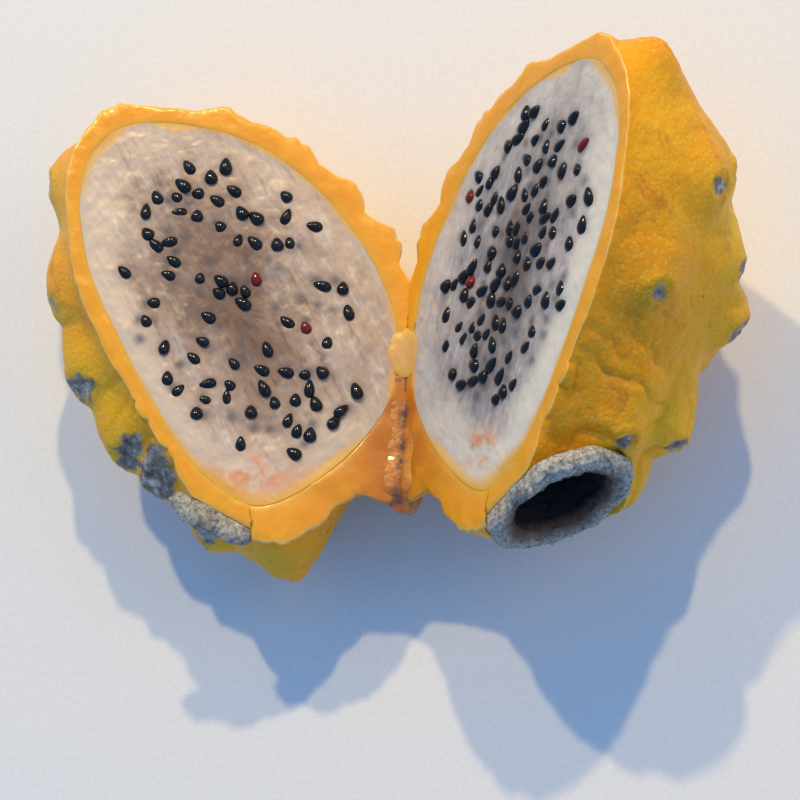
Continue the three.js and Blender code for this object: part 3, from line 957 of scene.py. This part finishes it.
def flesh_masks(points, spread, side, seeds, sunk):
    """Where the flesh is core, pale band, orange rim and blotch, and where its seeds shade it."""
    offset = points[:, :2] - CORE["at"]
    lengthwise = offset @ ALONG_AXIS
    sidewise = offset @ ACROSS_AXIS
    core = np.exp(-((sidewise / CORE["across"][side]) ** 2) - (lengthwise / CORE["along"]) ** 2)
    outer_side = smooth(-12, 18, sidewise - 0.35 * lengthwise)
    uneven = spread + 0.03 * noise(points, 7.0, 64)
    low = smooth(-18, -36, points[:, 1])
    at, reach, strength = BLOTCH[side]
    return {
        "core": core,
        "band": smooth(0.64, 0.86, uneven) * (0.35 + 0.65 * outer_side),
        "shade": seed_closeness(points, seeds, 2.3) * (0.35 + 0.65 * core),
        "sunk": seed_closeness(points, sunk, 1.3),
        "rim": smooth(0.965 - 0.07 * low, 1.0, uneven) * (0.75 + 0.25 * low),
        "blush": strength * np.exp(-(((points[:, :2] - at) / reach) ** 2).sum(axis=-1)),
    }


def flesh_half(name, side, seeds, sunk, material):
    """Cut face and underside of one lobe."""
    s = np.arange(FLESH_COLUMNS) / FLESH_COLUMNS
    face, spread = face_places(s)
    face[:, 2] = -side * face_rise(face, spread, seeds)
    face = behind_scar(face, side)
    under = [
        behind_scar(body_point(FLESH, s, np.full(len(s), latitude)), side)
        for latitude in latitudes_inside(FLESH, side, UNDER_ROWS)
    ]
    pole = body_point(FLESH, np.array(0.0), np.array(side * math.pi / 2))
    points = np.concatenate([face[:-1]] + under + [face[-1:], pole[None]])
    spread = np.concatenate([spread[:-1], np.ones((UNDER_ROWS - 1) * FLESH_COLUMNS), [0.0, 1.0]])
    quads, triangles = capped(FACE_ROWS + UNDER_ROWS - 1, FLESH_COLUMNS)
    masks = flesh_masks(points, spread, side, seeds, sunk)
    return mesh_object(name, folded(points, side), quads, triangles, [material], None, masks)


def bridge_piece(material):
    """The small saddle of uncut flesh between the two lobes."""
    slope = math.tan(FOLD_ANGLE)
    t = np.linspace(0, math.pi, BRIDGE_RINGS)[1:-1]
    a = turns(BRIDGE_AROUND)
    spread = np.repeat(np.sin(t), len(a))
    upper = np.repeat(t < math.pi / 2, len(a))
    x = BRIDGE["across"] * spread * np.tile(np.cos(a), len(t))
    y = BRIDGE["v"] + BRIDGE["along"] * spread * np.tile(np.sin(a), len(t))
    top = np.sqrt((slope * x) ** 2 + BRIDGE["rise"] ** 2) - 0.6 * spread**4
    z = np.where(upper, top, slope * np.abs(x) - 0.9 * (1 - spread) - 0.75)
    points = np.stack([x, y, z], axis=-1)
    points = np.concatenate([points, [[0, BRIDGE["v"], BRIDGE["rise"]], [0, BRIDGE["v"], -BRIDGE["thick"]]]])
    points[:, 2] += 0.12 * fractal(points, 2.6, 71, 3)
    quads, triangles = capped(BRIDGE_RINGS - 2, BRIDGE_AROUND)
    masks = {key: np.zeros(len(points)) for key in ("core", "shade", "sunk", "blush")}
    masks["band"] = np.full(len(points), 0.4)
    masks["rim"] = 0.45 + 0.45 * smooth(0.3, 1.0, np.concatenate([spread, [0.0, 0.0]]))
    return mesh_object("flesh_bridge", at_rest(points), quads, triangles, [material], None, masks)


def hinge_piece(material):
    """The strip of rind under the hinge, a wet fillet between the two halves with a crease along it."""
    slope = math.tan(FOLD_ANGLE)
    start, end, across = HINGE_STRIP["from"], HINGE_STRIP["to"], HINGE_STRIP["across"]
    v = np.linspace(start, end, HINGE_STATIONS)
    a = turns(HINGE_AROUND)
    taper = np.sqrt(np.maximum(1 - np.abs((v + 16) / 22.9) ** 6, 0.02))
    x = np.outer(taper, np.cos(a)).ravel() * across
    y = np.repeat(v, HINGE_AROUND)
    turn = np.tile(np.sin(a), HINGE_STATIONS)
    wander = 0.6 * noise(np.stack([y, 0 * y, 0 * y], axis=-1), 7.0, 83)
    crease = np.exp(-(((x - wander) / 1.1) ** 2))
    rise = 1.1 + 1.1 * smooth(-8.0, -34.0, y)
    fillet = np.sqrt((slope * x) ** 2 + rise**2) - 0.25 - 0.9 * (x / across) ** 4
    fillet += 0.25 * fractal(np.stack([x, 0.6 * y, 0 * x], axis=-1), 2.4, 81, 3) - 0.45 * crease
    fillet -= 2.2 * smooth(-33.0, start, y)
    z = np.where(turn >= 0, fillet, -2.2 + 2.6 * turn)
    points = np.concatenate([np.stack([x, y, z], axis=-1), [[0, start - 0.4, -2.0], [0, end + 0.4, -2.2]]])
    mask = {"crease": np.concatenate([crease * (z > 0), [0.0, 0.0]])}
    quads, triangles = capped(HINGE_STATIONS, HINGE_AROUND)
    return mesh_object("rind_hinge", at_rest(points), quads, triangles, [material], None, mask)


# Flower scar


# Radius and height along the scar's outer side, over its crest and down into its hollow
SCAR_PROFILE = [
    (0, -SCAR_DEPTH), (CUP_FOOT, -SCAR_DEPTH), (SCAR_HOLLOW + CUP_WALL, -COLLAR_THICKNESS),
    (SCAR_RADIUS - 1, -COLLAR_THICKNESS), (SCAR_RADIUS, -0.5), (SCAR_RADIUS - 0.8, SCAR_CREST * 0.7),
    (SCAR_RADIUS - 2.6, SCAR_CREST), (SCAR_HOLLOW + 0.7, SCAR_CREST * 0.4), (SCAR_HOLLOW, -CUP_WALL),
    (CUP_FOOT - CUP_WALL, CUP_WALL + 0.4 - SCAR_DEPTH), (0, CUP_WALL - SCAR_DEPTH),
]


def scar_rows():
    """The collar and cup as rows of points in the closed fruit's frame, with their masks."""
    profile = np.array(SCAR_PROFILE, float)
    reach = np.concatenate([[0], np.cumsum(np.linalg.norm(np.diff(profile, axis=0), axis=1))])
    steps = np.linspace(0, reach[-1], SCAR_STEPS)[1:-1]
    radius, height = (np.interp(steps, reach, profile[:, k]) for k in (0, 1))
    a = turns(SCAR_AROUND)
    wobble = 1 + 0.035 * (np.sin(5 * a) + np.sin(9 * a + 1)) / 2
    side = np.cross([0, 0, 1], SCAR_AXIS)
    side /= np.linalg.norm(side)
    spoke = np.cos(a)[:, None] * side + np.sin(a)[:, None] * np.cross(side, SCAR_AXIS)
    flat = radius[:, None, None] * wobble[None, :, None] * spoke[None]
    points = SCAR_CENTRE + flat + height[:, None, None] * SCAR_AXIS
    crust = 0.5 * fractal(points, 2.4, 91, 5, 0.72) * smooth(-COLLAR_THICKNESS - 1, 0, height)[:, None]
    ragged = 0.81 * np.abs(noise(points, 1.6, 95)) * (steps > reach[7])[:, None]
    points = points + crust[..., None] * SCAR_AXIS - ragged[..., None] * spoke[None]
    inner = smooth(reach[6] - 0.8, reach[7] + 0.6, steps)
    # The hollow's deep part, which the scar's material darkens as painted shade
    hollow_shade = smooth(reach[7] + 0.4, reach[8] + 0.9, steps)
    return points, {"inner": inner, "hollow_shade": hollow_shade}


def cut_to_side(piece, side):
    """Keep what lies on one side of the cut plane, close it there and fold it out."""
    work = bmesh.new()
    work.from_mesh(piece.data)
    parts = work.verts[:] + work.edges[:] + work.faces[:]
    bmesh.ops.bisect_plane(work, geom=parts, plane_co=(0, 0, 0), plane_no=(0, 0, side), clear_inner=True)
    rim = [edge for edge in work.edges if edge.is_boundary]
    bmesh.ops.holes_fill(work, edges=rim, sides=0)
    bmesh.ops.triangulate(work, faces=[face for face in work.faces if len(face.verts) > 4])
    flat = np.array([vertex.co for vertex in work.verts])
    for vertex, place in zip(work.verts, folded(flat, side)):
        vertex.co = place
    bmesh.ops.recalc_face_normals(work, faces=work.faces)
    work.to_mesh(piece.data)
    work.free()


def scar_piece(name, side, material):
    """One half's share of the collar and cup."""
    points, along = scar_rows()
    poles = SCAR_CENTRE + np.outer([-SCAR_DEPTH, CUP_WALL - SCAR_DEPTH], SCAR_AXIS)
    everything = np.concatenate([points.reshape(-1, 3), poles])
    quads, triangles = capped(len(points), SCAR_AROUND)
    masks = {key: np.concatenate([np.repeat(values, SCAR_AROUND), [0, 1]]) for key, values in along.items()}
    piece = mesh_object(name, everything, quads, triangles, [material], None, masks)
    cut_to_side(piece, side)
    return piece


# Stage, camera and lights


# The camera's turns about X, Y and Z in radians, its distance in millimetres, and the photo's size,
# focal length and hinge in pixels
CAMERA_TURN = (-0.30265, -0.44711, 0.09628)
CAMERA_DISTANCE = 600.0
FRAME_PIXELS = 800
FOCAL_PIXELS = 2640.0
HINGE_PIXEL = (407.72, 345.06)
SENSOR = 36.0
CLIP_START = 0.01
FLOOR_HALF = 2.0

LAMP_DISTANCE = 1.6
LOW_SUN = (1.0, 0.77, 0.35)
WARM_WALL = (1.0, 0.68, 0.34)
LAMPS = {
    "back_light": {"azimuth": 11, "elevation": 46, "size": 0.05, "power": 11.4, "colour": LOW_SUN},
    "back_left_light": {"azimuth": -22, "elevation": 47, "size": 0.05, "power": 11.4, "colour": LOW_SUN},
    "right_fill": {"azimuth": 76, "elevation": 38, "size": 0.8, "power": 3.4, "colour": WARM_WALL},
}
SKY_COLOUR = (0.22, 0.50, 1.0, 1)
SKY_STRENGTH = 0.70


def camera_axes():
    """The camera's right, up and backward directions in the fold frame."""
    ax, ay, az = CAMERA_TURN
    rx = np.array([[1, 0, 0], [0, math.cos(ax), -math.sin(ax)], [0, math.sin(ax), math.cos(ax)]])
    ry = np.array([[math.cos(ay), 0, math.sin(ay)], [0, 1, 0], [-math.sin(ay), 0, math.cos(ay)]])
    rz = np.array([[math.cos(az), -math.sin(az), 0], [math.sin(az), math.cos(az), 0], [0, 0, 1]])
    return rz @ ry @ rx


def place_camera():
    """Stand the camera off the hinge, turned so that the hinge lands on its own pixel."""
    axes = camera_axes()
    eye = at_rest(axes.T @ np.array([0, 0, CAMERA_DISTANCE]))
    right, up, back = (TURN @ axis for axis in axes)
    off_right, off_down = ((FRAME_PIXELS / 2 - place) / FOCAL_PIXELS for place in HINGE_PIXEL)
    ray = right * off_right - up * off_down - back
    back = -ray / np.linalg.norm(ray)
    right = np.cross(up, back)
    right /= np.linalg.norm(right)
    up = np.cross(back, right)
    camera = bpy.data.objects.new("camera", bpy.data.cameras.new("camera"))
    camera.data.sensor_width = SENSOR
    camera.data.lens = FOCAL_PIXELS / FRAME_PIXELS * SENSOR
    camera.data.clip_start = CLIP_START
    turn = Matrix([[right[i], up[i], back[i]] for i in range(3)]).to_4x4()
    camera.matrix_world = Matrix.Translation(eye) @ turn
    bpy.context.scene.collection.objects.link(camera)
    bpy.context.scene.camera = camera


def make_floor():
    mesh = bpy.data.meshes.new("floor")
    half = FLOOR_HALF
    corners = [(-half, -half, 0), (half, -half, 0), (half, half, 0), (-half, half, 0)]
    mesh.from_pydata(corners, [], [(0, 1, 2, 3)])
    mesh.materials.append(floor_material())
    floor = bpy.data.objects.new("floor", mesh)
    bpy.context.scene.collection.objects.link(floor)


def area_light(name, azimuth, elevation, size, power, colour):
    """A square lamp that looks at the fruit from a compass azimuth, 0 from behind along +Y."""
    data = bpy.data.lights.new(name, "AREA")
    data.size = size
    data.energy = power
    data.color = colour
    lamp = bpy.data.objects.new(name, data)
    a, e = math.radians(azimuth), math.radians(elevation)
    towards = Vector((math.sin(a) * math.cos(e), math.cos(a) * math.cos(e), math.sin(e)))
    lamp.location = towards * LAMP_DISTANCE
    lamp.rotation_euler = towards.to_track_quat("Z", "Y").to_euler()
    bpy.context.scene.collection.objects.link(lamp)


def make_light():
    """Two small warm lamps behind, a soft one at the right, and a blue sky that fills the shadows."""
    for name, lamp in LAMPS.items():
        area_light(name, **lamp)
    world = bpy.data.worlds.new("sky")
    world.use_nodes = True
    background = world.node_tree.nodes["Background"]
    background.inputs["Color"].default_value = SKY_COLOUR
    background.inputs["Strength"].default_value = SKY_STRENGTH
    bpy.context.scene.world = world
    bpy.context.scene.view_settings.view_transform = "Standard"


def make_fruit():
    rind_looks = [skin_material(), cut_rind_material()]
    dressed(rind_half("rind_right", RIGHT, rind_looks), "rind")
    dressed(rind_half("rind_left", LEFT, rind_looks), "rind")
    dressed(hinge_piece(hinge_material()), "rind")
    left_seeds = sow(SEEDS_LEFT)
    right_seeds = sow(SEEDS_RIGHT)
    # The left lobe's colours paint warm light on its flesh, the right lobe's paint blue sky light
    left_flesh = flesh_material("flesh_left", **LEFT_FLESH_PAINTED_WARM_LIGHT)
    right_flesh = flesh_material("flesh_right", **RIGHT_FLESH_PAINTED_SKY_LIGHT)
    dressed(flesh_half("flesh_left", LEFT, left_seeds, sow(SUNK_LEFT), left_flesh), "flesh")
    dressed(flesh_half("flesh_right", RIGHT, right_seeds, sow(SUNK_RIGHT), right_flesh), "flesh")
    dressed(bridge_piece(flesh_material("flesh_bridge", **BRIDGE_FLESH)), "flesh")
    black = seed_material()
    dressed(seeds_piece("seeds_left", left_seeds, LEFT, black), "flesh")
    dressed(seeds_piece("seeds_right", right_seeds, RIGHT, black), "flesh")
    cork = scar_material()
    dressed(scar_piece("scar_right", RIGHT, cork), "flower_scar_right")
    dressed(scar_piece("scar_left", LEFT, cork), "flower_scar_left")


place_camera()
make_floor()
make_light()
make_fruit()
